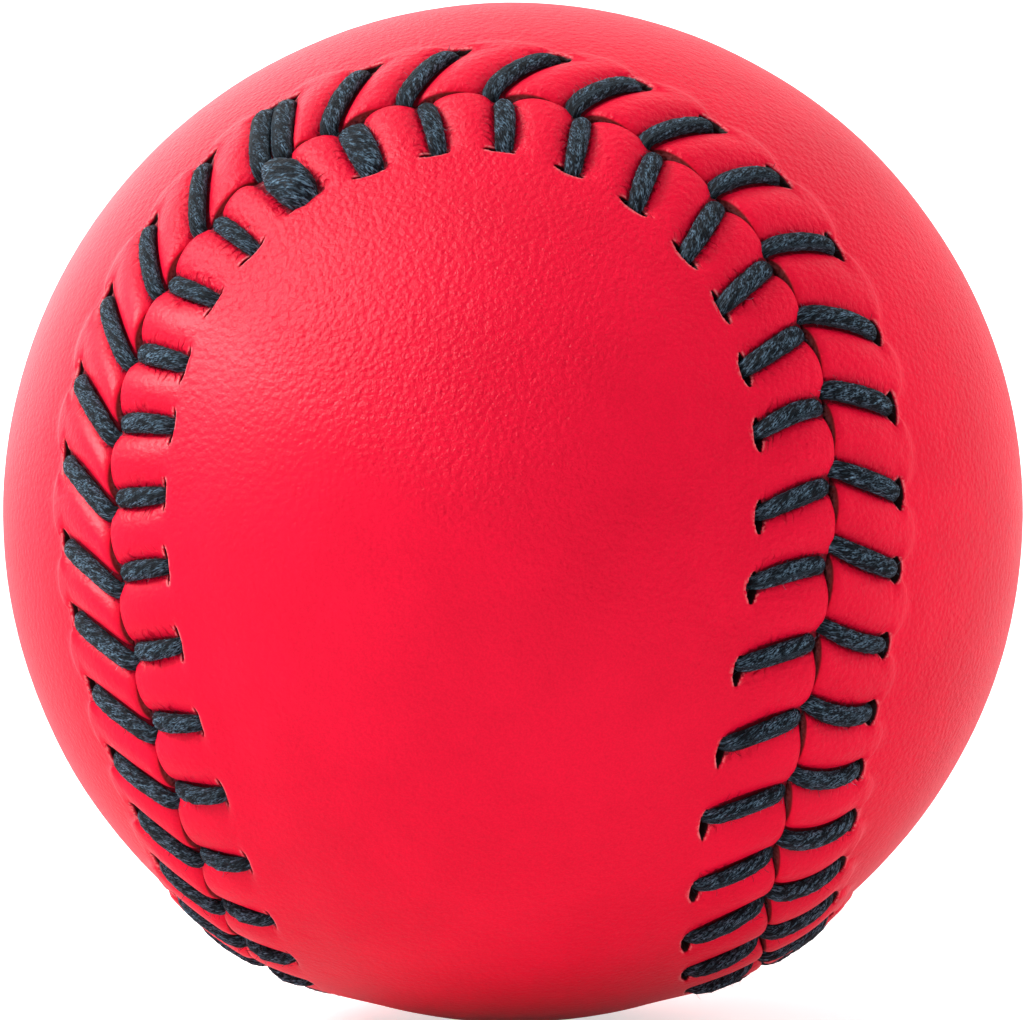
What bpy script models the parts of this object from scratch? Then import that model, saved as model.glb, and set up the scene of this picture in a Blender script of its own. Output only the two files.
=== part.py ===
"""Rounders ball: a wound core in two leather panels, sewn edge to edge with a two-needle seam.

Metres, +Z up, origin at the ball's centre. The seam is the closed curve that splits a sphere into two
equal dumbbells. The front panel's waist crosses -Z and its lobes face -Y and +Y. The rear panel's waist
crosses +Z and its lobes face -X and +X.
"""

import math

import bmesh
import bpy
import numpy as np
from mathutils import Vector, geometry

# Ball, leather and what is wound inside
BALL_DIAMETER = 0.0605
LEATHER_THICKNESS = 0.0022
CORE_DIAMETER = 0.022
COTTON_THICKNESS = 0.0035
YARN_TAIL_HOLE = 0.003

# Seam: how far it swings to each pole, how much it bulges sideways, and the raised edge along it
SEAM_LATITUDE = math.radians(60.7)
SEAM_BULGE = math.radians(18.0)
SEAM_GAP = 0.0006
WELT_HEIGHT = 0.0007
WELT_FOOT = 0.0016

# Stitches: holes beside the seam, how far they sit ahead of it, and the thread
STITCH_COUNT = 66
HOLE_DISTANCE = 0.005
STITCH_LEAN = 0.0013
LEAN_DRIFT = 0.0007
KNOT_TO_LOBE_TIP = 0.013
THREAD_DIAMETER = 0.0009
KNOT_DIAMETER = 0.0016
GROOVE_LEATHER = 0.0005

# Shares: pillow height from the seam's edge to the welt's foot, the thread's slant as it dives (of its
# radius), the length of a cut end (of the way to the next hole), the knot's swelling (of the way to its hole)
PILLOW_PROFILE = (0.5, 1.0, 0.85, 0.4, 0.0)
SLANT_SHARE = 0.25
TAIL_SHARE = 1 / 3
LUMP_SHARES = (0.75, 0.5)

# Space kept between touching pieces
CLEARANCE = 0.0003

# Mesh fineness
SEAM_SAMPLES = 4000
TURN_STEP = 1e-4
FACE_POINTS = 420
CHART_TOLERANCE = 1e-9
SPHERE_SEGMENTS = 20
SPHERE_RINGS = 10
SHARP_ANGLE = 50
GAP_STEPS = 6

# Panels are told apart by the side of the seam that they lie on
FRONT = -1
REAR = 1

BALL_RADIUS = BALL_DIAMETER / 2
THREAD_RADIUS = THREAD_DIAMETER / 2
WINDING_RADIUS = BALL_RADIUS - LEATHER_THICKNESS - CLEARANCE


def seam_direction(turn):
    """Unit vectors along the seam, for turn from 0 to 4 pi."""
    latitude = -SEAM_LATITUDE * np.cos(turn)
    longitude = turn / 2 + SEAM_BULGE * np.sin(2 * turn)
    return np.stack(
        [np.cos(latitude) * np.cos(longitude), np.cos(latitude) * np.sin(longitude), np.sin(latitude)],
        axis=-1,
    )


SEAM_TURNS = np.linspace(0, 4 * math.pi, SEAM_SAMPLES + 1)
SEAM_PATH = seam_direction(SEAM_TURNS)
SEAM_STEPS = np.linalg.norm(np.diff(SEAM_PATH, axis=0), axis=1) * BALL_RADIUS
SEAM_DISTANCES = np.concatenate([[0], np.cumsum(SEAM_STEPS)])
SEAM_LENGTH = SEAM_DISTANCES[-1]
PITCH = SEAM_LENGTH / STITCH_COUNT

# The tip of the front panel's lobe at -Y, where the stitches are counted from
LOBE_TIP = SEAM_LENGTH * 3 / 4

# The thread runs under the leather on straight chords, so it needs room for their sag
RUN_SAG = (HOLE_DISTANCE**2 + PITCH**2) / (8 * WINDING_RADIUS)
LEG_SAG = HOLE_DISTANCE**2 / (8 * BALL_RADIUS)
RUN_RADIUS = WINDING_RADIUS + CLEARANCE + THREAD_RADIUS + RUN_SAG
WELT_UNDERSIDE = RUN_RADIUS + THREAD_RADIUS + CLEARANCE
GROOVE_FLOOR = WELT_UNDERSIDE + GROOVE_LEATHER
LEG_RADIUS = GROOVE_FLOOR + CLEARANCE + THREAD_RADIUS + LEG_SAG

# Half the room that a thread needs, lying straight and diving at a slant
THREAD_ROOM = THREAD_RADIUS + CLEARANCE
DIVE_SLANT = THREAD_RADIUS * SLANT_SHARE
DIVE_ROOM = THREAD_ROOM + DIVE_SLANT

# Points of a thread's path at one stitch
LEG_POINTS = 5


def turn_at(distance):
    return np.interp(distance % SEAM_LENGTH, SEAM_DISTANCES, SEAM_TURNS)


def beside_seam(distance, offset, along=0.0):
    """Unit vector at a distance along the seam, offset across it (rear is positive), then shifted along."""
    turn = turn_at(distance)
    here = seam_direction(turn)
    tangent = seam_direction(turn + TURN_STEP) - seam_direction(turn - TURN_STEP)
    tangent /= np.linalg.norm(tangent)
    across = np.cross(here, tangent)
    angle = offset / BALL_RADIUS
    point = here * math.cos(angle) + across * math.sin(angle) + tangent * along / BALL_RADIUS
    return point / np.linalg.norm(point)


def stitch_distance(stitch):
    return LOBE_TIP - KNOT_TO_LOBE_TIP + stitch * PITCH


def leg_distance(stitch, panel, offset):
    """Distance along the seam of a stitch's leg, at an offset from the seam on its panel.

    The two legs of a stitch dive side by side, and their holes lie ahead of where they dive.
    """
    centre = stitch_distance(stitch)
    start = centre - panel * DIVE_ROOM
    hole = centre + STITCH_LEAN + panel * LEAN_DRIFT * math.sin(turn_at(centre))
    return start + (hole - start) * min(offset / HOLE_DISTANCE, 1.0)


def leg_groove(stitch, panel):
    """Half the width along the seam of the groove that a leaning leg lies in."""
    reach = leg_distance(stitch, panel, HOLE_DISTANCE) - leg_distance(stitch, panel, 0)
    return THREAD_ROOM * math.hypot(1, reach / HOLE_DISTANCE)


def ball_collection():
    collection = bpy.data.collections.new("rounders_ball")
    bpy.context.scene.collection.children.link(collection)
    return collection


def finish(name, color, roughness):
    material = bpy.data.materials.new(name)
    material.use_nodes = True
    shader = material.node_tree.nodes["Principled BSDF"]
    shader.inputs["Base Color"].default_value = (*color, 1.0)
    shader.inputs["Roughness"].default_value = roughness
    shader.inputs["Metallic"].default_value = 0.0
    return material


def add_object(name, data, material, collection):
    data.materials.append(material)
    item = bpy.data.objects.new(name, data)
    collection.objects.link(item)
    return item


def make_core(material, collection):
    """Cork and rubber pill at the centre."""
    mesh = bpy.data.meshes.new("core_pill")
    shape = bmesh.new()
    bmesh.ops.create_uvsphere(
        shape, u_segments=SPHERE_SEGMENTS, v_segments=SPHERE_RINGS, radius=CORE_DIAMETER / 2
    )
    shape.to_mesh(mesh)
    shape.free()
    mesh.shade_smooth()
    add_object("core_pill", mesh, material, collection)


def give_wall(shape, radius_of):
    """Extrudes an open patch to a closed wall, with each new point set at its own radius."""
    made = bmesh.ops.extrude_face_region(shape, geom=shape.faces[:])
    for vert in made["geom"]:
        if isinstance(vert, bmesh.types.BMVert):
            vert.co = vert.co.normalized() * radius_of(vert)
    bmesh.ops.recalc_face_normals(shape, faces=shape.faces[:])


def make_winding(name, outer_radius, inner_radius, material, collection):
    """Shell of wound yarn, open at +Z where the yarn's tail is drawn in."""
    mesh = bpy.data.meshes.new(name)
    shape = bmesh.new()
    bmesh.ops.create_uvsphere(
        shape, u_segments=SPHERE_SEGMENTS, v_segments=SPHERE_RINGS, radius=inner_radius
    )
    pole = max(shape.verts, key=lambda vert: vert.co.z)
    hole_radius = YARN_TAIL_HOLE / 2 * inner_radius / outer_radius
    cut = bmesh.ops.bevel(shape, geom=[pole], offset=hole_radius, segments=1, affect="VERTICES")
    for vert in cut["verts"]:
        vert.co = vert.co.normalized() * inner_radius
    bmesh.ops.delete(shape, geom=cut["faces"], context="FACES_ONLY")
    give_wall(shape, lambda vert: outer_radius)
    shape.to_mesh(mesh)
    shape.free()
    mesh.shade_smooth()
    mesh.set_sharp_from_angle(angle=math.radians(SHARP_ANGLE))
    add_object(name, mesh, material, collection)


def welt_rows(panel):
    """Rows of the raised edge as (direction, underside, outside), three columns to a stitch.

    Two columns run along the groove of the stitch's leg and one along the crest of the pillow after it.
    Row 0 is the scalloped edge, rows 2 and 3 bound the thread's hole, and row 4 is the foot of the welt.
    """
    hole_near = HOLE_DISTANCE - DIVE_ROOM
    hole_far = HOLE_DISTANCE + DIVE_ROOM
    offsets = [DIVE_ROOM, (DIVE_ROOM + hole_near) / 2, hole_near, hole_far, hole_far + WELT_FOOT]
    rows = []
    for row, offset in enumerate(offsets):
        foot = row == len(offsets) - 1
        underside = BALL_RADIUS - LEATHER_THICKNESS if foot else WELT_UNDERSIDE
        floor = BALL_RADIUS if foot else GROOVE_FLOOR
        pillow = BALL_RADIUS + WELT_HEIGHT * PILLOW_PROFILE[row]
        points = []
        for stitch in range(STITCH_COUNT):
            if row == 0:
                centre = stitch_distance(stitch)
                half = DIVE_ROOM + THREAD_ROOM
                middle = centre + PITCH / 2
                middle_offset = SEAM_GAP / 2
            else:
                centre = leg_distance(stitch, panel, offset)
                half = leg_groove(stitch, panel)
                middle = (centre + leg_distance(stitch + 1, panel, offset)) / 2
                middle_offset = offset
            points.append((beside_seam(centre, panel * offset, -half), underside, floor))
            points.append((beside_seam(centre, panel * offset, half), underside, floor))
            points.append((beside_seam(middle, panel * middle_offset), underside, pillow))
        rows.append(points)
    return rows, offsets[-1]


def face_points(panel, reach):
    """Points spread evenly over the ball, kept where they lie inside the foot of the panel's welt."""
    count = np.arange(FACE_POINTS)
    height = 1 - (2 * count + 1) / FACE_POINTS
    around = count * math.pi * (3 - math.sqrt(5))
    ring = np.sqrt(1 - height**2)
    spread = np.stack([ring * np.cos(around), ring * np.sin(around), height], axis=-1)
    spacing = BALL_RADIUS * math.sqrt(4 * math.pi / FACE_POINTS)
    kept = []
    for point in spread:
        nearest = int(np.argmax(SEAM_PATH @ point))
        tangent = SEAM_PATH[(nearest + 1) % SEAM_SAMPLES] - SEAM_PATH[nearest - 1]
        across = np.cross(SEAM_PATH[nearest], tangent)
        distance = BALL_RADIUS * math.acos(min(1.0, float(SEAM_PATH[nearest] @ point)))
        if across @ point * panel > 0 and distance > reach + spacing / 2:
            kept.append(point)
    return kept


def flat_chart(point, panel):
    """Stereographic map of the panel, centred on its waist."""
    depth = 1 + panel * point[2]
    return Vector((point[0] / depth, point[1] / depth))


def make_panel(name, panel, material, collection):
    """Leather panel: a patch on the ball with its holes left open, given its wall by an extrusion."""
    rows, reach = welt_rows(panel)
    columns = len(rows[0])
    inner_face = BALL_RADIUS - LEATHER_THICKNESS
    middle = [(point, inner_face, BALL_RADIUS) for point in face_points(panel, reach)]

    shape = bmesh.new()
    outside = shape.verts.layers.float.new("outside")

    def add_vert(spot):
        direction, underside, top = spot
        vert = shape.verts.new(direction * underside)
        vert[outside] = top
        return vert

    def add_face(verts):
        centre = sum((vert.co for vert in verts), Vector())
        edge_a = verts[1].co - verts[0].co
        edge_b = verts[2].co - verts[0].co
        outward = edge_a.cross(edge_b).dot(centre) > 0
        shape.faces.new(verts if outward else verts[::-1])

    grid = [[add_vert(spot) for spot in row] for row in rows]
    for row in range(len(rows) - 1):
        for column in range(columns):
            is_hole = row == 2 and column % 3 == 0
            if is_hole:
                continue
            beside = (column + 1) % columns
            add_face([grid[row][column], grid[row][beside], grid[row + 1][beside], grid[row + 1][column]])

    patch = grid[-1] + [add_vert(spot) for spot in middle]
    flat = [flat_chart(vert.co.normalized(), panel) for vert in patch]
    triangles = geometry.delaunay_2d_cdt(flat, [], [list(range(columns))], 1, CHART_TOLERANCE)[2]
    for triangle in triangles:
        add_face([patch[index] for index in triangle])

    give_wall(shape, lambda vert: vert[outside])

    mesh = bpy.data.meshes.new(name)
    shape.to_mesh(mesh)
    shape.free()
    mesh.shade_smooth()
    mesh.set_sharp_from_angle(angle=math.radians(SHARP_ANGLE))
    add_object(name, mesh, material, collection)


def stitch_leg(stitch, panel):
    """Thread's path at one stitch: up through the hole, over the leather, and down into the seam."""
    top = leg_distance(stitch, panel, HOLE_DISTANCE)
    landing = DIVE_ROOM + THREAD_ROOM
    over = leg_distance(stitch, panel, landing)
    dive = leg_distance(stitch, panel, 0)
    return [
        beside_seam(top, panel * HOLE_DISTANCE) * RUN_RADIUS,
        beside_seam(top, panel * HOLE_DISTANCE) * LEG_RADIUS,
        beside_seam(over, panel * landing) * LEG_RADIUS,
        beside_seam(dive, panel * DIVE_SLANT) * (LEG_RADIUS - THREAD_RADIUS),
        beside_seam(dive, -panel * DIVE_SLANT) * RUN_RADIUS,
    ]


def thread_tail(stitch, panel):
    """Where a thread's end stops under the opposite panel, on its way to the next hole."""
    start = leg_distance(stitch, panel, 0)
    hole = leg_distance(stitch - 1, -panel, HOLE_DISTANCE)
    return beside_seam(start + (hole - start) * TAIL_SHARE, -panel * HOLE_DISTANCE * TAIL_SHARE) * RUN_RADIUS


def thread_path(first_stitch, panel):
    """Points of one needle's thread, which works backwards to stitch 1 and changes sides at each stitch."""
    path = []
    for stitch in range(first_stitch, 0, -1):
        path += stitch_leg(stitch, panel)
        last_panel = panel
        panel = -panel
    path.append(thread_tail(1, last_panel))
    return path


def knot_path():
    """Points and thickness of the tied-off ends, which fill the front leg of stitch 0."""
    path = stitch_leg(0, FRONT)
    swell = KNOT_DIAMETER / THREAD_DIAMETER
    lump_radius = LEG_RADIUS + KNOT_DIAMETER / 2 - THREAD_RADIUS
    lump = []
    for share in LUMP_SHARES:
        offset = HOLE_DISTANCE * share
        distance = leg_distance(0, FRONT, offset)
        lump.append(beside_seam(distance, FRONT * offset) * lump_radius)
    points = path[:2] + lump + path[2:] + [thread_tail(0, FRONT)]
    thickness = [1.0, 1.0, swell, swell, 1.0, 1.0, 1.0, 1.0]
    return points, thickness


def make_thread(name, points, thickness, material, collection):
    curve = bpy.data.curves.new(name, "CURVE")
    curve.dimensions = "3D"
    curve.bevel_depth = THREAD_RADIUS
    curve.bevel_resolution = 1
    curve.use_fill_caps = True
    spline = curve.splines.new("POLY")
    spline.points.add(len(points) - 1)
    for place, point, scale in zip(spline.points, points, thickness):
        place.co = (*point, 1.0)
        place.radius = scale
    spline.use_smooth = True
    add_object(name, curve, material, collection)


def least_gap(path_a, path_b, skip):
    """Least gap between two threads, measured on points; skip leaves out a point's own neighbours."""
    share = np.linspace(0, 1, GAP_STEPS, endpoint=False)[:, None]

    def along(path):
        path = np.array(path)
        return np.concatenate([a + (b - a) * share for a, b in zip(path[:-1], path[1:])])

    points_a = along(path_a)
    points_b = along(path_b)
    least = math.inf
    for index, point in enumerate(points_a):
        distances = np.linalg.norm(points_b - point, axis=1)
        if skip:
            distances[max(0, index - skip) : index + skip + 1] = math.inf
        least = min(least, float(distances.min()))
    return least - THREAD_DIAMETER


for old in list(bpy.data.objects):
    bpy.data.objects.remove(old, do_unlink=True)

ball = ball_collection()
cork = finish("cork_rubber", (0.16, 0.09, 0.05), 0.9)
wool = finish("wool_yarn", (0.45, 0.42, 0.37), 0.95)
cotton = finish("cotton_yarn", (0.74, 0.71, 0.64), 0.9)
front_leather = finish("front_leather", (0.84, 0.012, 0.045), 0.45)
rear_leather = finish("rear_leather", (0.84, 0.018, 0.055), 0.45)
first_wax = finish("first_waxed_thread", (0.024, 0.036, 0.05), 0.6)
second_wax = finish("second_waxed_thread", (0.024, 0.036, 0.05), 0.6)
knot_wax = finish("knot_waxed_thread", (0.024, 0.036, 0.05), 0.6)

cotton_inner = WINDING_RADIUS - COTTON_THICKNESS
make_core(cork, ball)
make_winding("inner_winding", cotton_inner - CLEARANCE, CORE_DIAMETER / 2 + CLEARANCE, wool, ball)
make_winding("outer_winding", WINDING_RADIUS, cotton_inner, cotton, ball)
make_panel("front_cover_panel", FRONT, front_leather, ball)
make_panel("rear_cover_panel", REAR, rear_leather, ball)

first_path = thread_path(STITCH_COUNT, REAR)
second_path = thread_path(STITCH_COUNT - 1, REAR)
knot_points, knot_thickness = knot_path()
make_thread("first_thread", first_path, [1.0] * len(first_path), first_wax, ball)
make_thread("second_thread", second_path, [1.0] * len(second_path), second_wax, ball)
make_thread("finishing_knot", knot_points, knot_thickness, knot_wax, ball)

own_leg = LEG_POINTS * GAP_STEPS
threads_apart = least_gap(first_path, second_path, 0)
turns_apart = least_gap(first_path, first_path, own_leg)
knot_apart = least_gap(knot_points, first_path + second_path, 0)
print(f"seam length {SEAM_LENGTH * 1000:.1f} mm, stitch pitch {PITCH * 1000:.2f} mm")
print(f"least gap between the two threads {threads_apart * 1000:.2f} mm")
print(f"least gap of a thread to itself {turns_apart * 1000:.2f} mm")
print(f"least gap of the knot to the threads {knot_apart * 1000:.2f} mm")
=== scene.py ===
"""Rounders ball: cork, yarn, leather and waxed thread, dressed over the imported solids. Metres, +Z up."""

import math

import bpy
import numpy as np
from mathutils import Matrix, Vector, geometry


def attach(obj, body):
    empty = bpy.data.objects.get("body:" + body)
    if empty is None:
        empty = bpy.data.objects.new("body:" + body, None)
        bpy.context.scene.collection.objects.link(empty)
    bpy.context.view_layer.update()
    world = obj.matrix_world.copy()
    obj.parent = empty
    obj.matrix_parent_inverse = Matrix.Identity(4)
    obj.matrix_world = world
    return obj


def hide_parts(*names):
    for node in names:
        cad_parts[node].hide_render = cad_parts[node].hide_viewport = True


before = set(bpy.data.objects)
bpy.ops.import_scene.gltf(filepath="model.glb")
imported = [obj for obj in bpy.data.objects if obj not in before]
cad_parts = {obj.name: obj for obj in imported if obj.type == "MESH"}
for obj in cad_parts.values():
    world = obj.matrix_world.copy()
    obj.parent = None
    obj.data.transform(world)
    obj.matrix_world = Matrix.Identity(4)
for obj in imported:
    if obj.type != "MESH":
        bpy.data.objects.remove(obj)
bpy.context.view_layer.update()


# Core pill: the ball's centre, cork crumbs bound in dark rubber and moulded round. It isn't fixed: the wool
# that is wound over it holds it from all sides.
PILL_RADIUS = 0.011
CRUMB_SIZE = 0.0016
CRUMB_DEPTH = 0.00025
CRUMB_BUMP = 0.0002
SPECKS_PER_CRUMB = 6
CORK_PALE = (0.42, 0.24, 0.12, 1.0)
CORK_DARK = (0.05, 0.03, 0.022, 1.0)

NUMBER = "NodeSocketFloat"
COUNT = "NodeSocketInt"
ARROW = "NodeSocketVector"
SHAPE = "NodeSocketGeometry"
FINISH = "NodeSocketMaterial"


class Wire:
    """A node's output that can be used in sums, so that a node tree reads like a formula."""

    def __init__(self, socket):
        self.socket = socket

    def beside(self, name):
        """Another output of the same node."""
        return Wire(self.socket.node.outputs[name])

    def math(self, operation, *others):
        """This number and others put through one step of arithmetic."""
        inputs = dict(enumerate((self, *others)))
        return add_node(self.socket.id_data, "ShaderNodeMath", inputs, operation=operation)

    def arrow(self, operation, *others, output="Vector"):
        """This vector and others put through one step of arithmetic."""
        inputs = dict(enumerate((self, *others)))
        return add_node(self.socket.id_data, "ShaderNodeVectorMath", inputs, output, operation=operation)

    def stretch(self, number):
        """This vector made longer or shorter."""
        inputs = {0: self, "Scale": number}
        return add_node(self.socket.id_data, "ShaderNodeVectorMath", inputs, "Vector", operation="SCALE")

    def slope(self, low, high, kind="SMOOTHSTEP"):
        """An easy slope from 0 at low to 1 at high, which may be the smaller of the two."""
        inputs = {"Value": self, "From Min": low, "From Max": high}
        return add_node(self.socket.id_data, "ShaderNodeMapRange", inputs, interpolation_type=kind)

    def __add__(self, other):
        return self.math("ADD", other)

    def __sub__(self, other):
        return self.math("SUBTRACT", other)

    def __rsub__(self, other):
        return self.math("MULTIPLY_ADD", -1.0, other)

    def __mul__(self, other):
        return self.math("MULTIPLY", other)

    def __truediv__(self, other):
        return self.math("DIVIDE", other)

    def __rtruediv__(self, other):
        return self.math("POWER", -1.0) * other

    __radd__ = __add__
    __rmul__ = __mul__


def feed(socket, value):
    """Gives an input a value, or joins it to another node's output."""
    if isinstance(value, Wire):
        socket.id_data.links.new(value.socket, socket)
    else:
        socket.default_value = value


def add_node(tree, kind, inputs=(), output=0, **settings):
    """Adds a node, sets it up, feeds its inputs by name or number, and hands back one of its outputs."""
    node = tree.nodes.new(kind)
    for name, value in settings.items():
        setattr(node, name, value)
    for key, value in dict(inputs).items():
        feed(node.inputs[key], value)
    return Wire(node.outputs[output])


def new_tree(name, kind, inputs, outputs):
    """Starts a node tree with named inputs, and hands back the tree, the inputs' wires and its end."""
    tree = bpy.data.node_groups.new(name, kind)
    for label, socket in inputs.items():
        tree.interface.new_socket(label, in_out="INPUT", socket_type=socket)
    for label, socket in outputs.items():
        tree.interface.new_socket(label, in_out="OUTPUT", socket_type=socket)
    entry = tree.nodes.new("NodeGroupInput")
    wires = {socket.name: Wire(socket) for socket in entry.outputs if socket.name}
    return tree, wires, tree.nodes.new("NodeGroupOutput")


def join(tree, parts):
    """Several shapes as one."""
    joined = tree.nodes.new("GeometryNodeJoinGeometry")
    for part in parts:
        feed(joined.inputs[0], part)
    return Wire(joined.outputs[0])


def close_tree(tree, end, parts, finish):
    """Ends a geometry tree: its parts joined, smooth, made real and in their finish."""
    smooth = add_node(tree, "GeometryNodeSetShadeSmooth", {"Geometry": join(tree, parts)})
    real = add_node(tree, "GeometryNodeRealizeInstances", {"Geometry": smooth})
    feed(end.inputs[0], add_node(tree, "GeometryNodeSetMaterial", {"Geometry": real, "Material": finish}))


def grow(name, base, tree, values):
    """Runs a geometry tree with its values on a base mesh, and keeps the result as a plain mesh."""
    piece = bpy.data.objects.new(name, base)
    bpy.context.scene.collection.objects.link(piece)
    modifier = piece.modifiers.new(tree.name, "NODES")
    modifier.node_group = tree
    for item in tree.interface.items_tree:
        if item.in_out == "INPUT" and item.name in values:
            modifier[item.identifier] = values[item.name]
    bpy.context.view_layer.update()
    made = piece.evaluated_get(bpy.context.evaluated_depsgraph_get())
    mesh = bpy.data.meshes.new_from_object(made)
    mesh.materials.clear()
    mesh.materials.append(values["Finish"])
    mesh.name = name
    piece.modifiers.clear()
    piece.data = mesh
    return piece


def hand_over(piece, node):
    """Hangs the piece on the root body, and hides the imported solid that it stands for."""
    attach(piece, "root")
    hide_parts(node)


def new_finish(name):
    """Starts a material, and hands back it, its tree, its shader and the wire of its object coordinates."""
    material = bpy.data.materials.new(name + "_finish")
    material.use_nodes = True
    tree = material.node_tree
    place = add_node(tree, "ShaderNodeTexCoord", output="Object")
    return material, tree, tree.nodes["Principled BSDF"], place


def blend_colours(tree, share, first, second):
    """The first colour where the share is 0, and the second where it is 1."""
    return add_node(tree, "ShaderNodeMix", {0: share, 6: first, 7: second}, 2, data_type="RGBA")


def add_noise(tree, place, scale, detail=2.0):
    """Soft random values between 0 and 1 that change over a place."""
    return add_node(tree, "ShaderNodeTexNoise", {"Vector": place, "Scale": scale, "Detail": detail})


def add_relief(tree, shader, height, depth):
    """Gives a finish the fine relief of a height, as deep as the depth where the height changes by 1."""
    feed(shader.inputs["Normal"], add_node(tree, "ShaderNodeBump", {"Height": height, "Distance": depth}))


cork, tree, shader, place = new_finish("cork_rubber")
crumb = add_node(tree, "ShaderNodeTexVoronoi", {"Vector": place, "Scale": 1 / CRUMB_SIZE}, "Color")
crumb_tone = add_node(tree, "ShaderNodeSeparateColor", {0: crumb})
speck = add_noise(tree, place, SPECKS_PER_CRUMB / CRUMB_SIZE)
feed(shader.inputs["Base Color"], blend_colours(tree, crumb_tone * speck * 1.6, CORK_DARK, CORK_PALE))
add_relief(tree, shader, speck, CRUMB_BUMP)
shader.inputs["Roughness"].default_value = 0.9

tree, size, end = new_tree(
    "moulded_pill",
    "GeometryNodeTree",
    {"Geometry": SHAPE, "Radius": NUMBER, "Crumb size": NUMBER, "Crumb depth": NUMBER, "Finish": FINISH},
    {"Geometry": SHAPE},
)
ball = add_node(tree, "GeometryNodeMeshIcoSphere", {"Radius": size["Radius"], "Subdivisions": 6})
spot = add_node(tree, "GeometryNodeInputPosition")
pit = add_node(tree, "ShaderNodeTexVoronoi", {"Vector": spot, "Scale": 1 / size["Crumb size"]}, "Distance")
inward = spot.arrow("NORMALIZE").stretch(pit * size["Crumb depth"] * -1.0)
pitted = add_node(tree, "GeometryNodeSetPosition", {"Geometry": ball, "Offset": inward})
close_tree(tree, end, [pitted], size["Finish"])
pill = grow(
    "pill",
    bpy.data.meshes.new("pill_base"),
    tree,
    {"Radius": PILL_RADIUS, "Crumb size": CRUMB_SIZE, "Crumb depth": CRUMB_DEPTH, "Finish": cork},
)
hand_over(pill, "core_pill")


# Windings: coarse wool yarn wound tight over the pill, and fine cotton yarn over the wool. Each is one long
# yarn on great circles that turn a little with each round. The cotton's last rounds bed the leather.
WOOL_RADIUS = 0.02395
COTTON_RADIUS = 0.02775
WINDING_WALL = 0.0003
WOOL_YARN = 0.00055
COTTON_YARN = 0.0003
WOOL_ROUNDS = 110.0
COTTON_ROUNDS = 190.0
POINTS_PER_ROUND = 80
TURN_EACH_ROUND = 0.227
TILT_LEVEL = 0.85
TILT_SWING = 0.7
SWING_EACH_ROUND = 0.61
YARN_SIDES = 5
YARN_TWIST = 450.0
YARN_FIBRE_LENGTH = 0.0012
YARN_FIBRES_ROUND = 3.0
YARN_BUMP = 0.00008
WOOL_PALE = (0.62, 0.55, 0.44, 1.0)
WOOL_HOLLOW_SHADE = (0.2, 0.17, 0.13, 1.0)
COTTON_PALE = (0.86, 0.83, 0.75, 1.0)
COTTON_HOLLOW_SHADE = (0.36, 0.33, 0.27, 1.0)

fibre_tree, fibre_in, fibre_end = new_tree(
    "twisted_fibres",
    "ShaderNodeTree",
    {"Along": NUMBER, "Around": NUMBER, "Twist": NUMBER, "Length": NUMBER, "Number": NUMBER},
    {"Fibre": NUMBER, "Strand": NUMBER},
)
phase = (fibre_in["Around"] + fibre_in["Along"] * fibre_in["Twist"]) * math.tau
lane = add_node(
    fibre_tree,
    "ShaderNodeCombineXYZ",
    {
        "X": fibre_in["Along"] / fibre_in["Length"],
        "Y": phase.math("COSINE") * fibre_in["Number"],
        "Z": phase.math("SINE") * fibre_in["Number"],
    },
)
fine = add_noise(fibre_tree, lane, 1.0, 3.0)
broad = add_noise(fibre_tree, lane.stretch(0.3), 1.0, 1.0)
feed(fibre_end.inputs["Fibre"], fine.slope(0.4, 0.66))
feed(fibre_end.inputs["Strand"], broad.slope(0.35, 0.65))


def value_of(tree, label):
    """A named value of a mesh, inside a finish."""
    return add_node(tree, "ShaderNodeAttribute", output="Fac", attribute_name=label)


def add_fibres(tree, twist, length, number):
    """Puts the fibre group into a finish, following the thread that the mesh's own attributes describe."""
    group = tree.nodes.new("ShaderNodeGroup")
    group.node_tree = fibre_tree
    feed(group.inputs["Along"], value_of(tree, "along"))
    feed(group.inputs["Around"], value_of(tree, "around"))
    for label, value in (("Twist", twist), ("Length", length), ("Number", number)):
        feed(group.inputs[label], value)
    return Wire(group.outputs["Fibre"]), Wire(group.outputs["Strand"])


def yarn_finish(name, pale, dark):
    """Yarn: pale fibres, with a darker colour between them that is painted shade in the hollows."""
    material, tree, shader, _ = new_finish(name)
    fibre, strand = add_fibres(tree, YARN_TWIST, YARN_FIBRE_LENGTH, YARN_FIBRES_ROUND)
    # The dark colour in the fibre pattern is painted shade between the fibres.
    feed(shader.inputs["Base Color"], blend_colours(tree, fibre * 0.6 + strand * 0.4, dark, pale))
    add_relief(tree, shader, fibre, YARN_BUMP)
    shader.inputs["Roughness"].default_value = 0.95
    shader.inputs["Sheen Weight"].default_value = 0.3
    return material


def store(tree, shape, name, value, kind="FLOAT"):
    """Keeps a value on each point of a shape, under a name."""
    inputs = {"Geometry": shape, "Name": name, "Value": value}
    return add_node(tree, "GeometryNodeStoreNamedAttribute", inputs, data_type=kind, domain="POINT")


def sweep(tree, line, radius, sides, caps):
    """A tube round a line, with the distance along it and the share of the way round kept on its points."""
    parameter = add_node(tree, "GeometryNodeSplineParameter", output="Length")
    profile = add_node(tree, "GeometryNodeCurvePrimitiveCircle", {"Resolution": sides, "Radius": radius})
    around = add_node(tree, "GeometryNodeSplineParameter", output="Factor")
    inputs = {
        "Curve": store(tree, line, "along", parameter),
        "Profile Curve": store(tree, profile, "around", around),
        "Fill Caps": caps,
    }
    return add_node(tree, "GeometryNodeCurveToMesh", inputs)


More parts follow.
